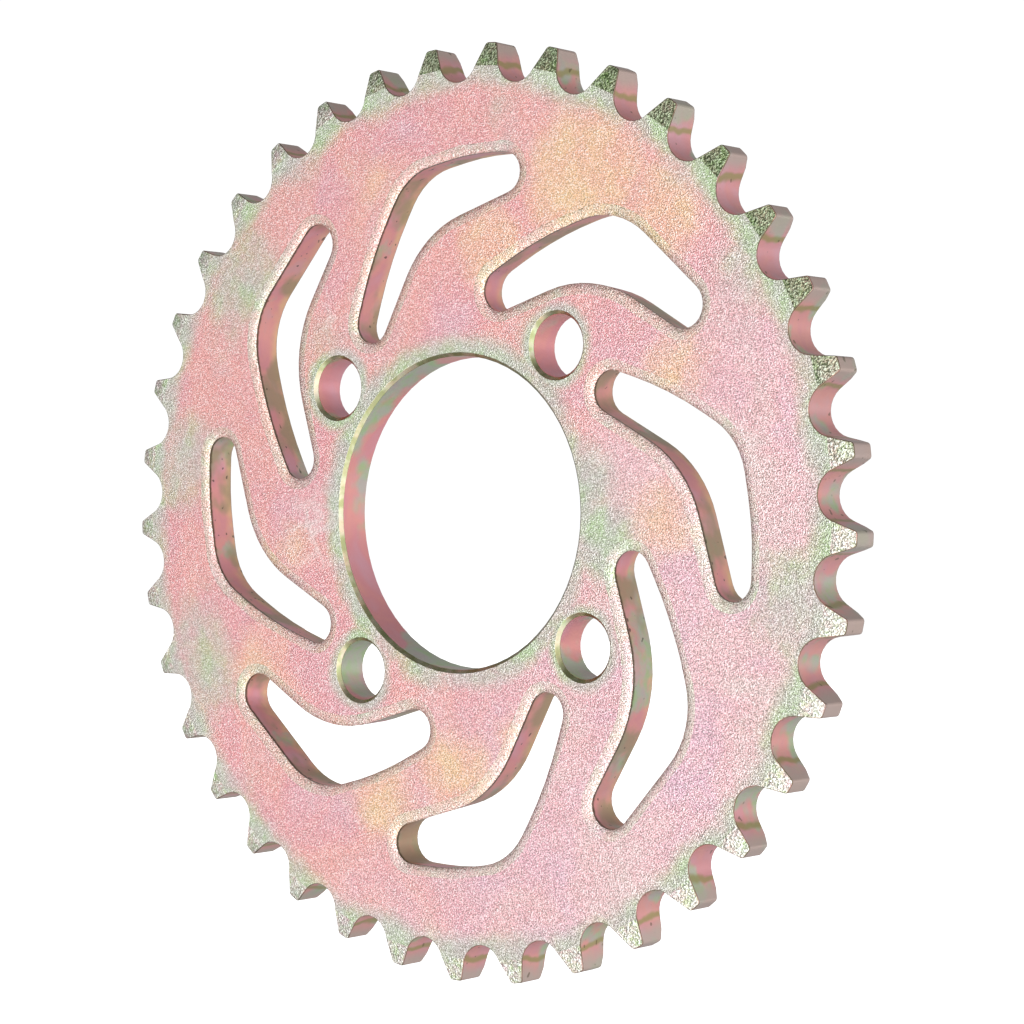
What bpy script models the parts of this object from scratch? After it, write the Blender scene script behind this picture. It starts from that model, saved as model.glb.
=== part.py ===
"""Rear sprocket of a small motorcycle: one stamped and machined steel plate.

The plate's axis is +Y. Its outer face, the one that shows beside the wheel, looks along -Y, and the
origin is at the centre of the bore, half way through the thickness. Outlines are drawn in the X-Z
plane as seen from the outer face, with +X to the right and +Z up. Lengths are in metres.
"""
import math

import bmesh
import bpy

MM = 0.001

# Driving dimensions
TEETH = 37
CHAIN_PITCH = 12.7 * MM
ROOT_ARC = 4.05 * MM             # the chain roller seats in this arc
FLANK_LEAN = math.radians(24.7)  # between a tooth's flank and the line through its gap's middle
TIP_RADIUS = 77.15 * MM
THICKNESS = 6.2 * MM
BORE_RADIUS = 25.85 * MM
BORE_CHAMFER = 0.6 * MM
BOLT_COUNT = 4
BOLT_CIRCLE_RADIUS = 34.2 * MM
BOLT_HOLE_RADIUS = 5.05 * MM
BOLT_CHAMFER = 0.6 * MM
BACK_EDGE_BREAK = 0.3 * MM

# How the plate is turned about its axis, measured from +X towards +Z
BOLT_ANGLE = math.radians(51.4)
TOOTH_GAP_ANGLE = math.radians(2.0)

# The teeth are turned to a taper: deep on the outer face, slight on the back
OUTER_TAPER_DEPTH = 0.9 * MM
BACK_TAPER_START = 75.4 * MM
BACK_TAPER_DEPTH = 0.55 * MM

# The punch draws a round lip in from the outer face, and the wall opens a little towards the back
LIP_WIDTH = 1.8 * MM
LIP_DEPTH = 0.45 * MM
LIP_STEPS = 3
BREAK_OUT = 0.45 * MM

# Both slots of one quarter, drawn beside a bolt hole that lies on +X. Each row is an arc of the wall,
# (centre across, centre up, radius) in millimetres, and straight runs join one arc to the next. The
# rows go round counter-clockwise, and a negative radius is an arc that the outline bends away from.
BOLT_SLOT = [
    (34.1, 15.3, 3.45),
    (27.4, -10.7, -21.7),
    (53.7, -16.1, 3.65),
    (44.5, -2.4, 13.6),
    (10.4, -44.8, 68.0),
]
WEB_SLOT = [
    (13.2, 34.9, 3.4),
    (27.3, 14.1, -19.6),
    (49.5, 26.6, 3.4),
    (12.5, 2.8, 47.3),
    (33.6, 32.1, 11.4),
    (38.8, -22.2, 65.9),
]
BOLT_SLOT_BACK_SHIFT = (-0.2, 0.4)
WEB_SLOT_BACK_SHIFT = (-0.3, 0.1)

ARC_TOLERANCE = 0.03 * MM        # a chord strays no further than this from its arc
OVERSHOOT = 1.0 * MM             # cutters run this far past both faces
LAND_STEPS = 3                   # chords across the tip of a tooth
LIP_OVERSHOOT = 0.05 * MM        # the sloping lip of a slot's cutter runs this far past the face

PITCH_RADIUS = CHAIN_PITCH / (2 * math.sin(math.pi / TEETH))
TOOTH_ANGLE = 2 * math.pi / TEETH
FRONT = -THICKNESS / 2
BACK = THICKNESS / 2

# The roller's seat ends, and the flank begins, at this distance from the middle line of the gap and
# at this height along it. The outer taper begins at the same radius.
SEAT_HALF_TURN = math.pi / 2 - FLANK_LEAN
SEAT_SIDE = ROOT_ARC * math.sin(SEAT_HALF_TURN)
SEAT_HEIGHT = PITCH_RADIUS - ROOT_ARC * math.cos(SEAT_HALF_TURN)
OUTER_TAPER_START = math.hypot(SEAT_SIDE, SEAT_HEIGHT)


def clear_scene():
    for old in list(bpy.data.objects):
        bpy.data.objects.remove(old, do_unlink=True)


def turned(point, angle):
    """A point of the X-Z drawing turned about the origin."""
    across, up = point
    cosine, sine = math.cos(angle), math.sin(angle)
    return (across * cosine - up * sine, across * sine + up * cosine)


def polar(radius, angle):
    return (radius * math.cos(angle), radius * math.sin(angle))


def steps_for_arc(radius, turn):
    """How many chords an arc needs to stay within the tolerance."""
    largest = 2 * math.acos(1 - ARC_TOLERANCE / max(radius, 2 * ARC_TOLERANCE))
    return max(2, math.ceil(abs(turn) / largest))


def arc_chain(arcs, grow=0.0, shift=(0.0, 0.0)):
    """Outline of arcs and the straight runs that touch them, moved outwards by grow.

    The runs keep their directions however far the outline grows, so every version of one outline
    has the same number of points, one opposite the other.
    """
    headings = []
    for index, (across, up, radius) in enumerate(arcs):
        next_across, next_up, next_radius = arcs[(index + 1) % len(arcs)]
        gap = math.hypot(next_across - across, next_up - up)
        straight = math.sqrt(gap ** 2 - (next_radius - radius) ** 2)
        bearing = math.atan2(next_up - up, next_across - across)
        headings.append(bearing - math.atan2(next_radius - radius, straight))
    points = []
    for index, (across, up, radius) in enumerate(arcs):
        turn = headings[index] - headings[index - 1]
        turn = (turn + math.pi) % (2 * math.pi) - math.pi
        count = steps_for_arc(abs(radius) * MM, turn)
        reach = radius * MM + grow
        for step in range(count + 1):
            heading = headings[index - 1] + turn * step / count
            points.append((
                (across + shift[0]) * MM + reach * math.sin(heading),
                (up + shift[1]) * MM - reach * math.cos(heading),
            ))
    return points


def taper(radius, start, depth):
    """How far a tapered face lies below the flat one at this radius."""
    return depth * max(0.0, radius - start) / (TIP_RADIUS - start)


def flank_angle(radius):
    """Angle from the gap's middle line to the point where the flank crosses a radius."""
    lean = math.tan(FLANK_LEAN)
    offset = SEAT_SIDE - lean * SEAT_HEIGHT
    # The flank is x = offset + lean * y, and x^2 + y^2 = radius^2
    a = 1 + lean ** 2
    b = 2 * lean * offset
    c = offset ** 2 - radius ** 2
    along = (-b + math.sqrt(b ** 2 - 4 * a * c)) / (2 * a)
    return math.atan2(offset + lean * along, along)


def gap_seat():
    """The roller's seat in one gap, centred on angle 0, as polar (radius, angle) points."""
    count = steps_for_arc(ROOT_ARC, 2 * SEAT_HALF_TURN)
    points = []
    for step in range(count + 1):
        swing = SEAT_HALF_TURN * (2 * step / count - 1)
        along = PITCH_RADIUS - ROOT_ARC * math.cos(swing)
        across = ROOT_ARC * math.sin(swing)
        points.append((math.hypot(along, across), math.atan2(across, along)))
    return points


def new_vertex(mesh, point, depth):
    return mesh.verts.new((point[0], depth, point[1]))


def wall_pair(mesh, radius, angle):
    """The outer and the back vertex of the plate's rim at one point of its outline."""
    point = polar(radius, angle)
    outer = new_vertex(mesh, point, FRONT + taper(radius, OUTER_TAPER_START, OUTER_TAPER_DEPTH))
    back = new_vertex(mesh, point, BACK - taper(radius, BACK_TAPER_START, BACK_TAPER_DEPTH))
    return outer, back


def taper_face(mesh, inner, flank_up, tip, flank_down):
    """The tapered patch of one tooth, between the arc where the taper begins and the tip."""
    last = len(tip) - 2
    for step in range(len(tip) - 1):
        patch = [inner[step]]
        if step == 0:
            patch += flank_up
        patch += [tip[step], tip[step + 1]]
        if step == last:
            patch += flank_down
        patch.append(inner[step + 1])
        mesh.faces.new(patch)


def toothed_blank():
    """The plate before any hole is cut: teeth, flat faces and the turned taper of the teeth."""
    mesh = bmesh.new()
    seats = []
    for tooth in range(TEETH):
        middle = TOOTH_GAP_ANGLE + tooth * TOOTH_ANGLE
        seats.append([wall_pair(mesh, radius, middle + angle) for radius, angle in gap_seat()])
    walls = []                    # one (outer vertex, back vertex) pair for each outline point
    outer_flat = []
    back_flat = []
    for tooth, seat in enumerate(seats):
        middle = TOOTH_GAP_ANGLE + tooth * TOOTH_ANGLE
        next_seat = seats[(tooth + 1) % TEETH]

        def across_tooth(radius):
            """Angles across the tooth at a radius, from its rising flank to its falling one."""
            begin = flank_angle(radius)
            turn = TOOTH_ANGLE - 2 * begin
            return [middle + begin + turn * step / LAND_STEPS for step in range(LAND_STEPS + 1)]

        tip = [wall_pair(mesh, TIP_RADIUS, angle) for angle in across_tooth(TIP_RADIUS)]
        back_angles = across_tooth(BACK_TAPER_START)
        rising = wall_pair(mesh, BACK_TAPER_START, back_angles[0])
        falling = wall_pair(mesh, BACK_TAPER_START, back_angles[-1])
        walls += seat + [rising] + tip + [falling]

        outer_arc = []
        for angle in across_tooth(OUTER_TAPER_START)[1:-1]:
            outer_arc.append(new_vertex(mesh, polar(OUTER_TAPER_START, angle), FRONT))
        outer_flat += [outer for outer, back in seat] + outer_arc
        outer_arc = [seat[-1][0]] + outer_arc + [next_seat[0][0]]
        taper_face(mesh, outer_arc, [rising[0]], [outer for outer, back in tip], [falling[0]])

        back_arc = [rising[1]]
        for angle in back_angles[1:-1]:
            back_arc.append(new_vertex(mesh, polar(BACK_TAPER_START, angle), BACK))
        back_arc.append(falling[1])
        back_flat += [back for outer, back in seat] + back_arc
        taper_face(mesh, back_arc, [], [back for outer, back in tip], [])
    for index, (outer, back) in enumerate(walls):
        next_outer, next_back = walls[(index + 1) % len(walls)]
        mesh.faces.new((outer, back, next_back, next_outer))
    mesh.faces.new(outer_flat)
    mesh.faces.new(back_flat)
    return finished_object("sprocket_plate", mesh)


def finished_object(name, mesh):
    """Make an object of the mesh, as triangles: they are always flat, as a Boolean needs."""
    bmesh.ops.recalc_face_normals(mesh, faces=mesh.faces)
    bmesh.ops.triangulate(mesh, faces=mesh.faces)
    data = bpy.data.meshes.new(name)
    mesh.to_mesh(data)
    mesh.free()
    made = bpy.data.objects.new(name, data)
    bpy.context.scene.collection.objects.link(made)
    return made


def add_loft(mesh, rings):
    """Add a closed solid through rings of equal point counts, each an (outline, depth) pair."""
    loops = []
    for outline, depth in rings:
        loops.append([new_vertex(mesh, point, depth) for point in outline])
    for lower, upper in zip(loops, loops[1:]):
        for index in range(len(lower)):
            after = (index + 1) % len(lower)
            mesh.faces.new((lower[index], lower[after], upper[after], upper[index]))
    mesh.faces.new(loops[0][::-1])
    mesh.faces.new(loops[-1])


def add_round_hole(mesh, centre, radius, chamfer):
    """A hole chamfered on the outer face, with a slight edge break on the back."""
    count = steps_for_arc(radius, 2 * math.pi)

    def ring(reach):
        points = []
        for step in range(count):
            across, up = polar(reach, 2 * math.pi * step / count)
            points.append((centre[0] + across, centre[1] + up))
        return points

    add_loft(mesh, [
        (ring(radius + chamfer + OVERSHOOT), FRONT - OVERSHOOT),
        (ring(radius), FRONT + chamfer),
        (ring(radius), BACK - BACK_EDGE_BREAK),
        (ring(radius + BACK_EDGE_BREAK + OVERSHOOT), BACK + OVERSHOOT),
    ])


def add_slot(mesh, arcs, back_shift, angle):
    """A lightening slot: the round lip, then the wall that opens towards the back."""
    rings = []

    def add_ring(grow, drift, depth):
        shift = (back_shift[0] * drift, back_shift[1] * drift)
        outline = arc_chain(arcs, grow, shift)
        rings.append(([turned(point, angle) for point in outline], depth))

    # The lip's first chord carries on just past the face, so that no cutter edge lies in the face
    first_swing = math.pi / 2 * (1 - 1 / LIP_STEPS)
    rise = LIP_DEPTH * (1 - math.sin(first_swing))
    run = LIP_WIDTH * math.cos(first_swing)
    mouth = LIP_WIDTH + run * LIP_OVERSHOOT / rise
    add_ring(mouth, 0.0, FRONT - OVERSHOOT)
    add_ring(mouth, 0.0, FRONT - LIP_OVERSHOOT)
    for step in range(1, LIP_STEPS + 1):
        swing = math.pi / 2 * (1 - step / LIP_STEPS)
        add_ring(LIP_WIDTH * (1 - math.cos(swing)), 0.0, FRONT + LIP_DEPTH * (1 - math.sin(swing)))
    past_back = 1 + OVERSHOOT / (THICKNESS - LIP_DEPTH)
    add_ring(BREAK_OUT * past_back, past_back, BACK + OVERSHOOT)
    add_loft(mesh, rings)


def openings_cutter():
    """The bore, the bolt holes and the slots, as one set of separate solids."""
    mesh = bmesh.new()
    add_round_hole(mesh, (0.0, 0.0), BORE_RADIUS, BORE_CHAMFER)
    for quarter in range(BOLT_COUNT):
        angle = BOLT_ANGLE + quarter * 2 * math.pi / BOLT_COUNT
        add_round_hole(mesh, polar(BOLT_CIRCLE_RADIUS, angle), BOLT_HOLE_RADIUS, BOLT_CHAMFER)
        add_slot(mesh, BOLT_SLOT, BOLT_SLOT_BACK_SHIFT, angle)
        add_slot(mesh, WEB_SLOT, WEB_SLOT_BACK_SHIFT, angle)
    cutter = finished_object("cut_openings", mesh)
    cutter.hide_render = True
    cutter.display_type = 'WIRE'
    return cutter


def plated_steel():
    """Steel with a yellow passivated zinc finish."""
    material = bpy.data.materials.new("yellow_zinc_plated_steel")
    material.use_nodes = True
    shader = material.node_tree.nodes["Principled BSDF"]
    shader.inputs["Base Color"].default_value = (0.72, 0.50, 0.44, 1.0)
    shader.inputs["Metallic"].default_value = 0.9
    shader.inputs["Roughness"].default_value = 0.4
    material.diffuse_color = (0.72, 0.50, 0.44, 1.0)
    return material


def build_sprocket():
    plate = toothed_blank()
    cutting = plate.modifiers.new("openings", 'BOOLEAN')
    cutting.operation = 'DIFFERENCE'
    cutting.solver = 'EXACT'
    cutting.object = openings_cutter()
    plate.data.shade_smooth()
    plate.data.set_sharp_from_angle(angle=math.radians(35.0))
    plate.data.materials.append(plated_steel())


clear_scene()
build_sprocket()
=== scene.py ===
import math

import bmesh
import bpy
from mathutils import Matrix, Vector


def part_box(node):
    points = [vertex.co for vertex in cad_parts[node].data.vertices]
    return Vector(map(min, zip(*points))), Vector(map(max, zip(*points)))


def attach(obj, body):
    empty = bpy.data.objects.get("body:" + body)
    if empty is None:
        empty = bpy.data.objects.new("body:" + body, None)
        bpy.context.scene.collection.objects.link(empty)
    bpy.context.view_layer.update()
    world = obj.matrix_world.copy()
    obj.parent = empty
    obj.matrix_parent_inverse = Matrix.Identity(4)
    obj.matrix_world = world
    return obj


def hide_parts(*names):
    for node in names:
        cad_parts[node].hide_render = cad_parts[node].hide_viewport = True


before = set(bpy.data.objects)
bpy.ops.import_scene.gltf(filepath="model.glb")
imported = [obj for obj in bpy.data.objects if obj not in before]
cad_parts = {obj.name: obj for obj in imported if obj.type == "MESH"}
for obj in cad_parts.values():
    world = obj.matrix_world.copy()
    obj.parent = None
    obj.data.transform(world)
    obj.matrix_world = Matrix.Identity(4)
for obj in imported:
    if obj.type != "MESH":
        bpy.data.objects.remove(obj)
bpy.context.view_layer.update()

# Looks of a rear sprocket: a blasted and yellow-passivated steel plate, on a plain pale set.

MM = 0.001

# The camera, the floor and the light
CAMERA_PLACE = (0.28266, -0.32683, 0.00024)
CAMERA_AIM = (0.00572, 0.00468, 0.00014)
CAMERA_LENS = 91.78
SENSOR_WIDTH = 36.0
FLOOR_DROP = 320 * MM           # from the lowest tooth down to the floor
FLOOR_SIZE = 12.0
KEY_HEADING = (0.33, -0.90, -0.28)
KEY_GLOW = (0.25, 0.38, 2.7)     # where the glow begins, its level there, and its level at the middle
SIDE_HEADING = (0.75, 0.65, -0.10)
SIDE_GLOW = (0.2, 0.0, 0.26)
CEILING_GLOW = (0.0, 1.0, 0.7)   # a share of the light, so the room is dimmer overhead
BACKGROUND_WHITE = 1.05
FRONT_SOFTBOX = (0.75, -1.15, -0.25)
FRONT_POWER = 0.5
SIDE_SOFTBOX = (1.0, 0.75, -0.10)
SIDE_POWER = 0.3
SOFTBOX_SIZE = 0.8

# Where the plate's features lie, as radii about its axis or heights along it
BOLT_ANGLE = math.radians(51.4)
BOLT_CIRCLE_RADIUS = 34.2 * MM
BOLT_REACH = 6.6 * MM           # everything this near a bolt hole's axis belongs to the hole
BORE_REACH = 27.5 * MM
SLOT_REACH = 66.0 * MM          # the slots end inside this radius
TAPER_START = 72.6 * MM

# How nearly a face looks along the axis, as the size of its normal's Y: each kind is above its own
FLAT_SLOPE = 0.9999
TAPER_SLOPE = 0.8
CHAMFER_SLOPE = 0.5
LIP_SLOPE = 0.25
LIP_REACH = 1.5 * MM             # the slots' lips end within this depth of the outer face

# Where the film on the flat faces clouds over, and where handling has scuffed it: each spot is
# (across, up, radius) in millimetres, and how strongly
AMBER_SPOTS = (
    (27, 53, 11, 1.0), (41, 46, 9, 0.7), (8, 43, 7, 0.8), (46, 22, 8, 0.55),
    (42, -2, 8, 0.5), (0, -42, 9, 0.75), (-16, -48, 9, 0.65), (-44, -27, 9, 0.6),
    (-38, -6, 8, 0.5), (12, -36, 6, 0.5), (-20, 57, 8, 0.4),
)
GREEN_SPOTS = (
    (-51, 41, 13, 0.6), (-62, -26, 13, 0.62), (-67, 8, 10, 0.6), (-38, 60, 8, 0.5),
    (27, 6, 6, 0.8), (30, -5, 7, 0.85), (26, -19, 7, 0.65), (-29, 30, 6, 0.5),
    (58, 36, 7, 0.55), (46, 54, 7, 0.55), (10, 66, 6, 0.4), (-50, -50, 8, 0.45),
    (62, -36, 7, 0.4), (67, -14, 9, 0.65), (56, -9, 7, 0.45), (18, 29, 6, 0.5),
)
SCUFF_SPOTS = ((-32, -3, 6, 0.5), (-25, 33, 5, 0.5), (-29, -20, 4, 0.45), (20, 68, 4, 0.4))

SHEEN_HEADING = (0.85, 0.0, -0.53)  # painted sheen: the faces' film is drawn paler this way, and its grain's pits darker
SHADE_HEADING = (0.5, 0.0, 0.86)    # painted shade: the teeth's tapers are drawn darker this way, and their grain's pits too

# Softened edges
BACK_ROUND = 0.28 * MM
FRONT_ROUND = 0.12 * MM
CHAMFER_ROUND = 0.07 * MM
TIP_ROUND = 0.4 * MM
TIP_CREASE = math.radians(30)
EDGE_CREASE = math.radians(20)
ON_BACK = 0.01 * MM              # an edge this near the back face lies in it
MERGE_DISTANCE = 0.001 * MM
SAME_PLANE = math.radians(0.4)   # neighbouring triangles that turn less than this become one face
SMOOTH_BELOW = math.radians(40)

# The places of the finishes on the plate, in order
FACE, TAPER, LIP, SLOT_WALL, TOOTH_WALL, HOLE_WALL, CHAMFER, BACK_EDGE, FRONT_EDGE = range(9)


# ---------------------------------------------------------------- camera, set and light

def place_camera():
    data = bpy.data.cameras.new("camera")
    data.lens = CAMERA_LENS
    data.sensor_width = SENSOR_WIDTH
    data.clip_start = 0.01
    camera = bpy.data.objects.new("camera", data)
    bpy.context.scene.collection.objects.link(camera)
    place = Vector(CAMERA_PLACE)
    aim = Vector(CAMERA_AIM) - place
    turn = aim.to_track_quat('-Z', 'Y').to_matrix().to_4x4()
    turn.translation = place
    camera.matrix_world = turn
    bpy.context.scene.camera = camera


def soft_light(name, place, power):
    """A round softbox that looks at the plate's middle."""
    data = bpy.data.lights.new(name, 'AREA')
    data.shape = 'DISK'
    data.size = SOFTBOX_SIZE
    data.energy = power
    light = bpy.data.objects.new(name, data)
    bpy.context.scene.collection.objects.link(light)
    light.location = place
    light.rotation_euler = (-Vector(place)).to_track_quat('-Z', 'Y').to_euler()


def studio_surroundings():
    """White behind everything, and for the metal to mirror, a room that is bright in front."""
    world = bpy.data.worlds.new("studio")
    bpy.context.scene.world = world
    world.use_nodes = True
    tree = world.node_tree
    tree.nodes.clear()
    heading = tree.nodes.new("ShaderNodeTexCoord").outputs["Generated"]

    def glow(axis, begin, low, high):
        """Eases from low to high as the heading turns towards the axis."""
        return add_range(tree, dot(tree, heading, axis), begin, 1.0, low, high)

    room = add_math(tree, 'ADD', glow(KEY_HEADING, *KEY_GLOW), glow(SIDE_HEADING, *SIDE_GLOW))
    room = add_math(tree, 'MULTIPLY', room, glow((0.0, 0.0, 1.0), *CEILING_GLOW))
    mirrored = tree.nodes.new("ShaderNodeBackground")
    mirrored.inputs["Color"].default_value = (1.0, 1.0, 1.0, 1.0)
    tree.links.new(room, mirrored.inputs["Strength"])
    white = tree.nodes.new("ShaderNodeBackground")
    white.inputs["Color"].default_value = (1.0, 1.0, 1.0, 1.0)
    white.inputs["Strength"].default_value = BACKGROUND_WHITE
    seen = tree.nodes.new("ShaderNodeMixShader")
    tree.links.new(tree.nodes.new("ShaderNodeLightPath").outputs["Is Camera Ray"], seen.inputs["Fac"])
    tree.links.new(mirrored.outputs["Background"], seen.inputs[1])
    tree.links.new(white.outputs["Background"], seen.inputs[2])
    tree.links.new(seen.outputs["Shader"], tree.nodes.new("ShaderNodeOutputWorld").inputs["Surface"])


def pale_floor(lowest):
    bpy.ops.object.select_all(action='DESELECT')
    bpy.ops.mesh.primitive_plane_add(size=FLOOR_SIZE, location=(0.0, 0.0, lowest - FLOOR_DROP))
    floor = bpy.context.active_object
    floor.name = "floor"
    bpy.ops.object.transform_apply(location=True, rotation=True, scale=True)
    paint = bpy.data.materials.new("pale_floor")
    paint.use_nodes = True
    shader = paint.node_tree.nodes["Principled BSDF"]
    shader.inputs["Base Color"].default_value = (0.93, 0.93, 0.93, 1.0)
    shader.inputs["Roughness"].default_value = 0.9
    shader.inputs["Emission Color"].default_value = (1.0, 1.0, 1.0, 1.0)
    shader.inputs["Emission Strength"].default_value = 1.0
    floor.data.materials.append(paint)
    floor.visible_glossy = False


# ---------------------------------------------------------------- shared effects

def new_group(name, numbers, outputs):
    """A node group with a Vector input, float inputs with their defaults, and the named outputs."""
    group = bpy.data.node_groups.new(name, 'ShaderNodeTree')
    group.interface.new_socket("Vector", in_out='INPUT', socket_type='NodeSocketVector')
    for label, value in numbers:
        socket = group.interface.new_socket(label, in_out='INPUT', socket_type='NodeSocketFloat')
        socket.default_value = value
    for label, kind in outputs:
        group.interface.new_socket(label, in_out='OUTPUT', socket_type=kind)
    start = group.nodes.new("NodeGroupInput")
    end = group.nodes.new("NodeGroupOutput")
    return group, start, end


def add_noise(tree, where, scale, detail):
    noise = tree.nodes.new("ShaderNodeTexNoise")
    noise.inputs["Scale"].default_value = scale
    noise.inputs["Detail"].default_value = detail
    tree.links.new(where, noise.inputs["Vector"])
    return noise.outputs["Fac"]


def add_math(tree, operation, first, second=None, third=None):
    step = tree.nodes.new("ShaderNodeMath")
    step.operation = operation
    for socket, value in zip(step.inputs, (first, second, third)):
        if value is None:
            continue
        if isinstance(value, (int, float)):
            socket.default_value = value
        else:
            tree.links.new(value, socket)
    return step.outputs["Value"]


def add_range(tree, value, low, high, to_low=0.0, to_high=1.0):
    """The value eased from low..high to to_low..to_high."""
    step = tree.nodes.new("ShaderNodeMapRange")
    step.interpolation_type = 'SMOOTHSTEP'
    tree.links.new(value, step.inputs["Value"])
    step.inputs["From Min"].default_value = low
    step.inputs["From Max"].default_value = high
    step.inputs["To Min"].default_value = to_low
    step.inputs["To Max"].default_value = to_high
    return step.outputs["Result"]


def add_mix(tree, amount, first, second, blend='MIX'):
    """Two colours, each a socket or an (r, g, b), mixed by a socket or a number."""
    step = tree.nodes.new("ShaderNodeMix")
    step.data_type = 'RGBA'
    step.blend_type = blend
    sockets = (step.inputs[0], step.inputs[6], step.inputs[7])
    for socket, value in zip(sockets, (amount, first, second)):
        if isinstance(value, (int, float)):
            socket.default_value = value
        elif isinstance(value, tuple):
            socket.default_value = (*value, 1.0)
        else:
            tree.links.new(value, socket)
    return step.outputs[2]


def add_ramp(tree, value, stops):
    ramp = tree.nodes.new("ShaderNodeValToRGB")
    elements = ramp.color_ramp.elements
    while len(elements) < len(stops):
        elements.new(0.5)
    for element, (place, colour) in zip(elements, stops):
        element.position = place
        element.color = (*colour, 1.0)
    tree.links.new(value, ramp.inputs["Fac"])
    return ramp.outputs["Color"]


def passivate_film_group():
    """The passivate's clouded colour: rose, washed paler by the sheen input (a painted sheen), amber where
    Warm, and Green.
    """
    group, start, end = new_group(
        "passivate_film",
        (("Cloud Scale", 60.0), ("Warm", 0.0), ("Green", 0.0), ("Pale", 0.0)),
        (("Color", 'NodeSocketColor'),),
    )
    where = start.outputs["Vector"]

    def cloud(factor, detail):
        noise = group.nodes.new("ShaderNodeTexNoise")
        noise.inputs["Detail"].default_value = detail
        noise.inputs["Roughness"].default_value = 0.6
        noise.inputs["Distortion"].default_value = 0.4
        group.links.new(where, noise.inputs["Vector"])
        scale = add_math(group, 'MULTIPLY', start.outputs["Cloud Scale"], factor)
        group.links.new(scale, noise.inputs["Scale"])
        return noise.outputs["Fac"]

    def spread(amount, noise, swing):
        """The amount with the noise added on both sides of it, from none to full."""
        ragged = add_math(group, 'MULTIPLY_ADD', noise, swing, -swing / 2)
        return add_range(group, add_math(group, 'ADD', ragged, amount), 0.2, 0.8)

    rose = add_ramp(group, cloud(1.0, 3.0), (
        (0.32, (0.84, 0.42, 0.49)),
        (0.45, (0.88, 0.37, 0.40)),
        (0.56, (0.93, 0.41, 0.38)),
        (0.68, (0.86, 0.44, 0.45)),
    ))
    pale = add_ramp(group, cloud(1.3, 3.0), (
        (0.36, (0.86, 0.50, 0.63)),
        (0.52, (0.91, 0.53, 0.57)),
        (0.66, (0.88, 0.64, 0.63)),
    ))
    amber = add_ramp(group, cloud(2.3, 2.0), (
        (0.35, (0.96, 0.50, 0.36)),
        (0.60, (0.95, 0.62, 0.33)),
    ))
    green = add_ramp(group, cloud(3.1, 3.0), (
        (0.34, (0.60, 0.54, 0.50)),
        (0.50, (0.55, 0.60, 0.47)),
        (0.64, (0.47, 0.64, 0.34)),
    ))
    colour = add_mix(group, spread(start.outputs["Pale"], cloud(0.9, 3.0), 0.7), rose, pale)
    colour = add_mix(group, spread(start.outputs["Warm"], cloud(1.7, 3.0), 0.9), colour, amber)
    colour = add_mix(group, spread(start.outputs["Green"], cloud(2.1, 4.0), 0.9), colour, green)
    group.links.new(colour, end.inputs["Color"])
    return group


def blast_grain_group():
    """The crowded pits and crests that grit blasting leaves: their height, and a mask for each."""
    group, start, end = new_group(
        "blast_grain",
        (("Grain Scale", 4600.0),),
        (("Height", 'NodeSocketFloat'), ("Pits", 'NodeSocketFloat'), ("Crests", 'NodeSocketFloat')),
    )
    where = start.outputs["Vector"]
    grain = group.nodes.new("ShaderNodeTexNoise")
    grain.inputs["Detail"].default_value = 1.5
    grain.inputs["Roughness"].default_value = 0.6
    grain.inputs["Distortion"].default_value = 0.3
    group.links.new(where, grain.inputs["Vector"])
    group.links.new(start.outputs["Grain Scale"], grain.inputs["Scale"])
    height = grain.outputs["Fac"]
    group.links.new(height, end.inputs["Height"])
    group.links.new(add_range(group, height, 0.54, 0.34), end.inputs["Pits"])
    group.links.new(add_range(group, height, 0.50, 0.66), end.inputs["Crests"])
    return group


def dot(tree, where, axis):
    """The dot product with an axis: how far along it a place lies, or how nearly a heading follows it."""
    along = tree.nodes.new("ShaderNodeVectorMath")
    along.operation = 'DOT_PRODUCT'
    along.inputs[1].default_value = axis
    tree.links.new(where, along.inputs[0])
    return along.outputs["Value"]


def add_spots(group, where, spots):
    """The largest of several soft round spots, each (across, up, radius, strength) in millimetres."""
    total = None
    for across, up, radius, strength in spots:
        far = group.nodes.new("ShaderNodeVectorMath")
        far.operation = 'DISTANCE'
        group.links.new(where, far.inputs[0])
        far.inputs[1].default_value = (across * MM, 0.0, up * MM)
        spot = add_range(group, far.outputs["Value"], 1.9 * radius * MM, 0.0, 0.0, strength)
        total = spot if total is None else add_math(group, 'MAXIMUM', total, spot)
    return total


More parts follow.
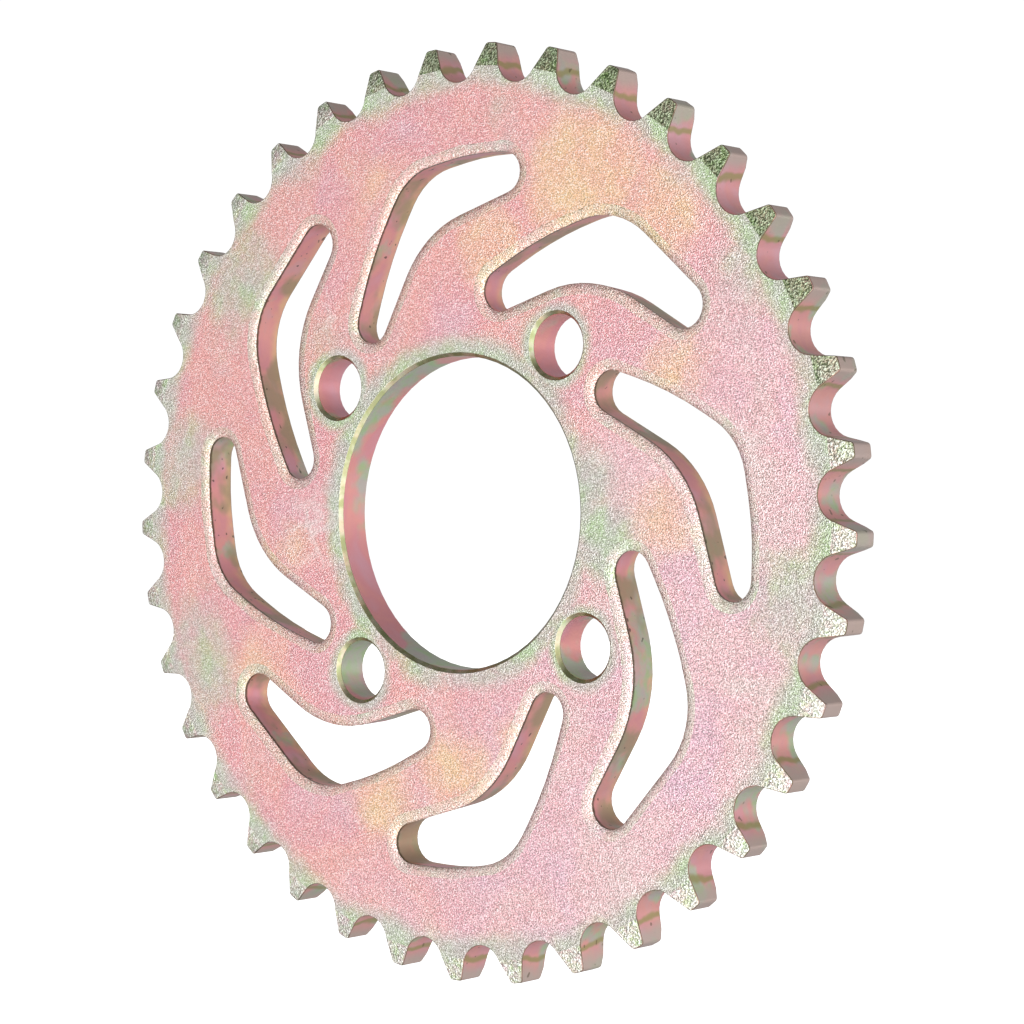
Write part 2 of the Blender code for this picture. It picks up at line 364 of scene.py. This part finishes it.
def film_zones_group():
    """Where the flat faces' film is amber and where green, how strongly a painted sheen draws it paler, and
    how far each place is from the axis.
    """
    group, start, end = new_group(
        "film_zones", (),
        (("Warm", 'NodeSocketFloat'), ("Green", 'NodeSocketFloat'), ("Pale", 'NodeSocketFloat'),
         ("Radius", 'NodeSocketFloat')),
    )
    where = start.outputs["Vector"]
    turn = group.nodes.new("ShaderNodeVectorRotate")
    turn.rotation_type = 'Y_AXIS'
    turn.inputs["Angle"].default_value = BOLT_ANGLE
    group.links.new(where, turn.inputs["Vector"])
    parts = group.nodes.new("ShaderNodeSeparateXYZ")
    group.links.new(turn.outputs["Vector"], parts.inputs["Vector"])
    across = add_math(group, 'ABSOLUTE', parts.outputs["X"])
    up = add_math(group, 'ABSOLUTE', parts.outputs["Z"])
    radius = add_math(group, 'SQRT', add_math(
        group, 'MULTIPLY_ADD', across, across, add_math(group, 'MULTIPLY', up, up)))
    smaller = add_math(group, 'MINIMUM', across, up)
    from_bolt = add_math(group, 'SUBTRACT', add_math(group, 'MAXIMUM', across, up), BOLT_CIRCLE_RADIUS)
    from_bolt = add_math(group, 'SQRT', add_math(
        group, 'MULTIPLY_ADD', from_bolt, from_bolt, add_math(group, 'MULTIPLY', smaller, smaller)))
    bolts = add_range(group, from_bolt, 9.5 * MM, 5.5 * MM, 0.0, 0.72)
    bore = add_range(group, radius, 33.0 * MM, 26.5 * MM, 0.0, 0.72)
    teeth = add_range(group, radius, 65.0 * MM, 73.5 * MM, 0.0, 0.80)
    flat = group.nodes.new("ShaderNodeVectorMath")
    flat.operation = 'MULTIPLY'
    flat.inputs[1].default_value = (1.0, 0.0, 1.0)
    group.links.new(where, flat.inputs[0])
    green = add_spots(group, flat.outputs["Vector"], GREEN_SPOTS)
    for rim in (bolts, bore, teeth):
        green = add_math(group, 'MAXIMUM', green, rim)
    group.links.new(add_spots(group, flat.outputs["Vector"], AMBER_SPOTS), end.inputs["Warm"])
    group.links.new(green, end.inputs["Green"])
    # painted sheen: the faces drawn paler towards one side, for the brighter reflection there
    pale = add_range(group, dot(group, where, SHEEN_HEADING), -25.0 * MM, 62.0 * MM, 0.1, 0.75)
    group.links.new(pale, end.inputs["Pale"])
    group.links.new(radius, end.inputs["Radius"])
    return group


# ---------------------------------------------------------------- finishes

def new_finish(name, metallic, roughness):
    finish = bpy.data.materials.new(name)
    finish.use_nodes = True
    tree = finish.node_tree
    shader = tree.nodes["Principled BSDF"]
    shader.inputs["Metallic"].default_value = metallic
    shader.inputs["Roughness"].default_value = roughness
    where = tree.nodes.new("ShaderNodeTexCoord").outputs["Object"]
    return finish, tree, shader, where


def place_group(tree, group, where, **values):
    node = tree.nodes.new("ShaderNodeGroup")
    node.node_tree = group
    tree.links.new(where, node.inputs["Vector"])
    for label, value in values.items():
        socket = node.inputs[label.replace("_", " ")]
        if isinstance(value, (int, float)):
            socket.default_value = value
        else:
            tree.links.new(value, socket)
    return node


def add_bump(tree, shader, height, strength, depth):
    bump = tree.nodes.new("ShaderNodeBump")
    bump.inputs["Strength"].default_value = strength
    bump.inputs["Distance"].default_value = depth
    tree.links.new(height, bump.inputs["Height"])
    tree.links.new(bump.outputs["Normal"], shader.inputs["Normal"])


def grain_over(tree, grain, colour, pit, pit_shade_amount, crest, crest_glint_amount):
    """The film's colour, darkened in the grain's pits as painted shade and whitened on its crests as
    painted glints.
    """
    colour = add_mix(tree, add_math(tree, 'MULTIPLY', grain.outputs["Pits"], pit_shade_amount), colour, pit)
    return add_mix(tree, add_math(tree, 'MULTIPLY', grain.outputs["Crests"], crest_glint_amount), colour, crest)


def blasted_face(groups):
    """The flat faces: grit-blasted before plating."""
    finish, tree, shader, where = new_finish("blasted_face", 0.85, 0.42)
    zones = place_group(tree, groups["zones"], where)
    film = place_group(tree, groups["film"], where, Cloud_Scale=45.0, Warm=zones.outputs["Warm"],
                       Green=zones.outputs["Green"], Pale=zones.outputs["Pale"])
    grain = place_group(tree, groups["grain"], where)
    # painted shade and glints in the grain: pits darkened, more where the sheen is painted, and crests
    # whitened
    pit_shade_strength = add_math(tree, 'MULTIPLY_ADD', zones.outputs["Pale"], 0.45, 0.40)
    colour = grain_over(tree, grain, film.outputs["Color"],
                        (0.26, 0.23, 0.20), pit_shade_strength, (0.98, 0.96, 0.95), 0.70)
    streak = add_math(tree, 'ABSOLUTE', add_math(tree, 'SUBTRACT', add_noise(tree, where, 130.0, 2.0), 0.5))
    scuffed = add_math(tree, 'MULTIPLY', add_spots(tree, where, SCUFF_SPOTS),
                       add_range(tree, streak, 0.06, 0.0))
    colour = add_mix(tree, scuffed, colour, (0.90, 0.88, 0.84))
    tree.links.new(colour, shader.inputs["Base Color"])
    tree.links.new(add_range(tree, add_noise(tree, where, 400.0, 3.0), 0.3, 0.7, 0.34, 0.48),
                   shader.inputs["Roughness"])
    add_bump(tree, shader, grain.outputs["Height"], 1.0, 0.20 * MM)
    return finish


def tooth_taper(groups):
    """The turned sides of the teeth: greener, with coarse specks, and painted shade that darkens them and
    their specks towards the top.
    """
    finish, tree, shader, where = new_finish("tooth_taper", 0.9, 0.34)
    film = place_group(tree, groups["film"], where, Cloud_Scale=160.0, Warm=0.0, Green=0.62, Pale=0.9)
    grain = place_group(tree, groups["grain"], where, Grain_Scale=2900.0)
    # painted shade: the tapers and their grain's pits grow darker towards the top
    shade_reach = dot(tree, where, SHADE_HEADING)
    pit_shade_strength = add_range(tree, shade_reach, 20.0 * MM, 66.0 * MM, 0.28, 0.85)
    # painted shade and glints in the grain: pits darkened, crests whitened
    colour = grain_over(tree, grain, film.outputs["Color"],
                        (0.07, 0.10, 0.04), pit_shade_strength, (0.97, 1.0, 0.93), 0.95)
    dark = add_mix(tree, 0.75, colour, (0.22, 0.32, 0.12), 'MULTIPLY')
    colour = add_mix(tree, add_range(tree, shade_reach, 35.0 * MM, 66.0 * MM, 0.0, 0.95), colour, dark)
    tree.links.new(colour, shader.inputs["Base Color"])
    add_bump(tree, shader, grain.outputs["Height"], 1.0, 0.28 * MM)
    return finish


def punched_lip(groups):
    """The rounded lips of the slots: grained, with a thin film that shows green, and a painted highlight
    that lightens them.
    """
    finish, tree, shader, where = new_finish("punched_lip", 0.9, 0.32)
    zones = place_group(tree, groups["zones"], where)
    greener = add_math(tree, 'MULTIPLY_ADD', zones.outputs["Green"], 0.6, 0.28)
    film = place_group(tree, groups["film"], where, Cloud_Scale=120.0, Warm=zones.outputs["Warm"],
                       Green=greener, Pale=zones.outputs["Pale"])
    grain = place_group(tree, groups["grain"], where)
    # the thin film's green, and a painted highlight: the lip drawn towards a light green-white
    thin = add_mix(tree, 0.18, film.outputs["Color"], (0.80, 0.90, 0.68))
    # painted shade and glints in the grain: pits darkened, crests whitened
    colour = grain_over(tree, grain, thin, (0.16, 0.17, 0.10), 0.70, (0.96, 1.0, 0.92), 0.80)
    tree.links.new(colour, shader.inputs["Base Color"])
    add_bump(tree, shader, grain.outputs["Height"], 1.0, 0.18 * MM)
    return finish


def slot_wall(groups):
    """The sheared walls of the slots: rose, amber towards the back, and a painted dark line of shade near
    the lip.
    """
    finish, tree, shader, where = new_finish("slot_wall", 0.85, 0.32)
    parts = tree.nodes.new("ShaderNodeSeparateXYZ")
    tree.links.new(where, parts.inputs["Vector"])
    depth = parts.outputs["Y"]
    patches = add_range(tree, add_noise(tree, where, 95.0, 4.0), 0.46, 0.64, 0.0, 0.62)
    film = place_group(tree, groups["film"], where, Cloud_Scale=110.0, Green=patches,
                       Warm=add_range(tree, depth, -1.0 * MM, 3.0 * MM, 0.05, 0.62))
    pits = add_range(tree, add_noise(tree, where, 800.0, 1.0), 0.30, 0.24, 0.0, 0.75)
    stain = add_range(tree, add_noise(tree, where, 120.0, 3.0), 0.46, 0.62, 0.0, 0.8)
    colour = add_mix(tree, stain, film.outputs["Color"], (0.46, 0.36, 0.22))
    colour = add_mix(tree, pits, colour, (0.08, 0.07, 0.05))
    # painted shade: a ragged dark line along the wall near the front face, where it meets the lip
    ragged = add_math(tree, 'MULTIPLY_ADD', add_noise(tree, where, 1200.0, 2.0), 0.5 * MM, depth)
    painted_shade_line = add_range(tree, ragged, -1.65 * MM, -2.15 * MM, 0.0, 0.95)
    colour = add_mix(tree, painted_shade_line, colour, (0.12, 0.09, 0.05))
    tree.links.new(colour, shader.inputs["Base Color"])
    add_bump(tree, shader, add_noise(tree, where, 500.0, 2.0), 0.6, 0.06 * MM)
    return finish


def tooth_wall(groups):
    """The teeth's cut sides: rose in the seats, then an olive band, and grey towards the tips."""
    finish, tree, shader, where = new_finish("tooth_wall", 0.85, 0.30)
    zones = place_group(tree, groups["zones"], where)
    wobble = add_math(tree, 'MULTIPLY_ADD', add_noise(tree, where, 220.0, 2.0), 2.4 * MM, -1.2 * MM)
    reach = add_math(tree, 'ADD', zones.outputs["Radius"], wobble)
    olive = add_math(tree, 'SUBTRACT', add_range(tree, reach, 72.8 * MM, 73.4 * MM),
                     add_range(tree, reach, 73.7 * MM, 74.3 * MM))
    film = place_group(tree, groups["film"], where, Cloud_Scale=120.0, Warm=0.12,
                       Green=add_range(tree, add_noise(tree, where, 130.0, 2.0), 0.46, 0.64, 0.0, 0.75))
    greyed = add_range(tree, reach, 73.6 * MM, 76.4 * MM, 0.15, 0.85)
    colour = add_mix(tree, greyed, film.outputs["Color"], (0.58, 0.50, 0.44))
    colour = add_mix(tree, add_math(tree, 'MULTIPLY', olive, 0.8), colour, (0.40, 0.36, 0.14))
    streaks = add_range(tree, add_noise(tree, where, 700.0, 1.0), 0.30, 0.25, 0.0, 0.6)
    colour = add_mix(tree, streaks, colour, (0.12, 0.10, 0.05))
    tree.links.new(colour, shader.inputs["Base Color"])
    add_bump(tree, shader, add_noise(tree, where, 600.0, 2.0), 0.5, 0.05 * MM)
    return finish


def hole_wall(groups):
    """The bored walls of the hub bore and the bolt holes."""
    finish, tree, shader, where = new_finish("hole_wall", 0.85, 0.30)
    patches = add_range(tree, add_noise(tree, where, 70.0, 3.0), 0.42, 0.58, 0.0, 0.8)
    film = place_group(tree, groups["film"], where, Cloud_Scale=80.0, Warm=0.15, Green=patches)
    tree.links.new(film.outputs["Color"], shader.inputs["Base Color"])
    add_bump(tree, shader, add_noise(tree, where, 700.0, 2.0), 0.5, 0.04 * MM)
    return finish


def cut_chamfer(groups):
    """The bright cut chamfers round the bore and the bolt holes."""
    finish, tree, shader, where = new_finish("cut_chamfer", 0.95, 0.24)
    film = place_group(tree, groups["film"], where, Cloud_Scale=160.0, Warm=0.5, Green=0.60)
    dull = add_range(tree, add_noise(tree, where, 500.0, 2.0), 0.35, 0.65, 0.5, 0.92)
    colour = add_mix(tree, dull, film.outputs["Color"], (0.24, 0.25, 0.12))
    tree.links.new(colour, shader.inputs["Base Color"])
    add_bump(tree, shader, add_noise(tree, where, 900.0, 1.0), 0.4, 0.04 * MM)
    return finish


def edge_tone_finish(groups, name, tone):
    """The softened edges, drawn towards a tone: grey-brown on the back edges, and near black on the front
    edges as a painted dark line of shade.
    """
    finish, tree, shader, where = new_finish(name, 0.9, 0.34)
    film = place_group(tree, groups["film"], where, Cloud_Scale=200.0, Warm=0.2, Green=0.3)
    edge_colour = add_mix(tree, add_range(tree, add_noise(tree, where, 350.0, 2.0), 0.3, 0.6, 0.6, 0.95),
                     film.outputs["Color"], tone)
    tree.links.new(edge_colour, shader.inputs["Base Color"])
    add_bump(tree, shader, add_noise(tree, where, 800.0, 2.0), 0.5, 0.03 * MM)
    return finish


# ---------------------------------------------------------------- the plate

def start_from_node(name, node):
    """A new object with a merged copy of a CAD node's mesh, in edit mode and with nothing selected."""
    bpy.ops.object.select_all(action='DESELECT')
    plate = bpy.data.objects.new(name, node.data.copy())
    bpy.context.scene.collection.objects.link(plate)
    plate.data.materials.clear()
    plate.select_set(True)
    bpy.context.view_layer.objects.active = plate
    bpy.ops.object.mode_set(mode='EDIT')
    bpy.ops.mesh.select_mode(type='VERT')
    bpy.ops.mesh.select_all(action='SELECT')
    bpy.ops.mesh.customdata_custom_splitnormals_clear()
    bpy.ops.mesh.remove_doubles(threshold=MERGE_DISTANCE)
    bpy.ops.mesh.dissolve_limited(angle_limit=SAME_PLANE)
    bpy.ops.mesh.select_all(action='DESELECT')
    return plate


def axis_distance(point):
    return math.hypot(point.x, point.z)


def bolt_distance(point):
    """Distance from the nearest bolt hole's axis."""
    nearest = math.inf
    for quarter in range(4):
        angle = BOLT_ANGLE + quarter * math.pi / 2
        across = point.x - BOLT_CIRCLE_RADIUS * math.cos(angle)
        up = point.z - BOLT_CIRCLE_RADIUS * math.sin(angle)
        nearest = min(nearest, math.hypot(across, up))
    return nearest


def surface_of(face, front):
    """Which finish a face takes, from its place and its slope."""
    middle = face.calc_center_median()
    slope = abs(face.normal.y)
    radius = axis_distance(middle)
    if slope > FLAT_SLOPE:
        return FACE
    if radius > TAPER_START and slope > TAPER_SLOPE:
        return TAPER
    if radius > SLOT_REACH:
        return TOOTH_WALL
    if radius < BORE_REACH or bolt_distance(middle) < BOLT_REACH:
        return CHAMFER if slope > CHAMFER_SLOPE else HOLE_WALL
    return LIP if slope > LIP_SLOPE and middle.y < front + LIP_REACH else SLOT_WALL


def choose_edges(plate, wanted):
    """Select the edges that pass a test of (edge, middle of the edge)."""
    bpy.ops.mesh.select_mode(type='EDGE')
    bpy.ops.mesh.select_all(action='DESELECT')
    mesh = bmesh.from_edit_mesh(plate.data)
    for edge in mesh.edges:
        if len(edge.link_faces) == 2 and wanted(edge, (edge.verts[0].co + edge.verts[1].co) / 2):
            edge.select = True
    bmesh.update_edit_mesh(plate.data)


def sprocket_plate(node, finishes):
    low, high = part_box("sprocket_plate")
    front, back = low.y, high.y
    plate = start_from_node("plated_sprocket", node)
    for finish in finishes:
        plate.data.materials.append(finish)
    mesh = bmesh.from_edit_mesh(plate.data)
    for face in mesh.faces:
        face.material_index = surface_of(face, front)
    bmesh.update_edit_mesh(plate.data)

    def kinds(edge):
        return {face.material_index for face in edge.link_faces}

    def back_edge(edge, middle):
        creased = middle.y > back - ON_BACK and edge.calc_face_angle() > EDGE_CREASE
        tapered = middle.y > 0 and {TOOTH_WALL, TAPER} <= kinds(edge)
        return (creased and CHAMFER not in kinds(edge)) or tapered

    def front_teeth(edge, middle):
        return middle.y < 0 and TOOTH_WALL in kinds(edge) and kinds(edge) & {TAPER, FACE}

    def chamfer_edge(edge, middle):
        return CHAMFER in kinds(edge) and edge.calc_face_angle() > EDGE_CREASE

    def tip_corner(edge, middle):
        return kinds(edge) == {TOOTH_WALL} and edge.calc_face_angle() > TIP_CREASE

    def soften(wanted, offset, segments, finish):
        """Bevel the chosen edges, in a finish of their own, or in their neighbours' for -1."""
        choose_edges(plate, wanted)
        bpy.ops.mesh.bevel(offset=offset, offset_type='OFFSET', segments=segments, affect='EDGES',
                           clamp_overlap=False, material=finish)

    soften(tip_corner, TIP_ROUND, 3, -1)
    soften(back_edge, BACK_ROUND, 3, BACK_EDGE)
    soften(front_teeth, FRONT_ROUND, 2, FRONT_EDGE)
    soften(chamfer_edge, CHAMFER_ROUND, 2, -1)
    bpy.ops.mesh.select_all(action='DESELECT')
    bpy.ops.object.mode_set(mode='OBJECT')
    bpy.ops.object.shade_smooth_by_angle(angle=SMOOTH_BELOW)
    weighting = plate.modifiers.new("face_weights", 'WEIGHTED_NORMAL')
    weighting.mode = 'FACE_AREA'
    weighting.keep_sharp = True
    bpy.ops.object.modifier_apply(modifier=weighting.name)
    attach(plate, "root")
    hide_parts("sprocket_plate")


place_camera()
studio_surroundings()
soft_light("front_softbox", FRONT_SOFTBOX, FRONT_POWER)
soft_light("side_softbox", SIDE_SOFTBOX, SIDE_POWER)
pale_floor(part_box("sprocket_plate")[0].z)

groups = {"film": passivate_film_group(), "grain": blast_grain_group(), "zones": film_zones_group()}
sprocket_plate(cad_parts["sprocket_plate"], (
    blasted_face(groups),
    tooth_taper(groups),
    punched_lip(groups),
    slot_wall(groups),
    tooth_wall(groups),
    hole_wall(groups),
    cut_chamfer(groups),
    edge_tone_finish(groups, "grey_brown_back_edge", (0.36, 0.30, 0.26)),
    # painted shade: a near-black line along the front edges
    edge_tone_finish(groups, "painted_shade_front_edge", (0.13, 0.12, 0.07)),
))
bpy.context.scene.view_settings.view_transform = 'Standard'
